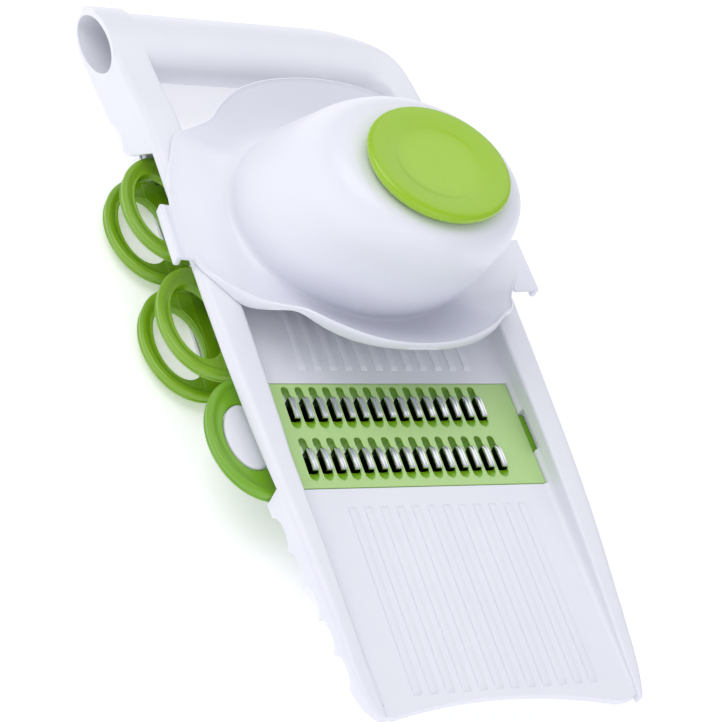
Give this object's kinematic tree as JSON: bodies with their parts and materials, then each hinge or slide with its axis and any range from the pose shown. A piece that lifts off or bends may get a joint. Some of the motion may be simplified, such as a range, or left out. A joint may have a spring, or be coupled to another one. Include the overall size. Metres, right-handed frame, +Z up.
{
  "type": "mandoline slicer",
  "caption": "Kitchen mandoline with a ribbed ramp, a grater insert in its window, spare inserts stored underneath and a sliding hand guard with a food pusher.",
  "frame": {"origin": "middle of the overall footprint, on the surface that the storage rack stands on", "axes": "+Y from the toe towards the handle, +X towards the side without finger loops, +Z up from the ramp"},
  "size_m": [0.1536, 0.337, 0.104],
  "materials": {
    "white_plastic": "satin",
    "guard_plastic": "satin",
    "lime_plastic": "gloss",
    "green_plastic": "gloss",
    "grater_plastic": "satin",
    "blade_steel": "brushed",
    "screw_steel": "satin"
  },
  "bodies": {
    "root": {"body_frame": "white_plastic", "storage_rack": "white_plastic", "rack_screw_1": "screw_steel", "rack_screw_2": "screw_steel", "rack_screw_3": "screw_steel", "rack_screw_4": "screw_steel"},
    "hand_guard": {"guard_shell": "guard_plastic"},
    "food_pusher": {"pusher_knob": "lime_plastic", "pusher_stem": "white_plastic", "pin_plate": "white_plastic", "pin_plate_screw": "screw_steel"},
    "grater_insert": {"grater_carrier": "grater_plastic", "grater_rear_teeth": "blade_steel", "grater_front_teeth": "blade_steel", "grater_loop_plug": "white_plastic"},
    "thin_slicer_insert": {"thin_slicer_carrier": "green_plastic", "thin_slicer_blade": "blade_steel"},
    "thick_slicer_insert": {"thick_slicer_carrier": "green_plastic", "thick_slicer_blade": "blade_steel"},
    "fine_grater_insert": {"fine_grater_carrier": "green_plastic", "fine_grater_sheet": "blade_steel"},
    "julienne_insert": {"julienne_carrier": "green_plastic", "julienne_blade": "blade_steel", "julienne_comb": "blade_steel"}
  },
  "joints": [
    {"name": "guard_slide", "type": "slide", "parent": "root", "child": "hand_guard", "axis": [0, -1, 0], "range_m": [-0.015, 0.135]},
    {"name": "pusher_lift", "type": "slide", "parent": "hand_guard", "child": "food_pusher", "axis": [0, 0, 1], "range_m": [0, 0.025]},
    {"name": "grater_insert_slide", "type": "slide", "parent": "root", "child": "grater_insert", "axis": [-1, 0, 0], "range_m": [0, 0.12]},
    {"name": "thin_slicer_insert_slide", "type": "slide", "parent": "root", "child": "thin_slicer_insert", "axis": [-1, 0, 0], "range_m": [0, 0.11]},
    {"name": "thick_slicer_insert_slide", "type": "slide", "parent": "root", "child": "thick_slicer_insert", "axis": [-1, 0, 0], "range_m": [0, 0.11]},
    {"name": "fine_grater_insert_slide", "type": "slide", "parent": "root", "child": "fine_grater_insert", "axis": [-1, 0, 0], "range_m": [0, 0.11]},
    {"name": "julienne_insert_slide", "type": "slide", "parent": "root", "child": "julienne_insert", "axis": [-1, 0, 0], "range_m": [0, 0.11]}
  ]
}
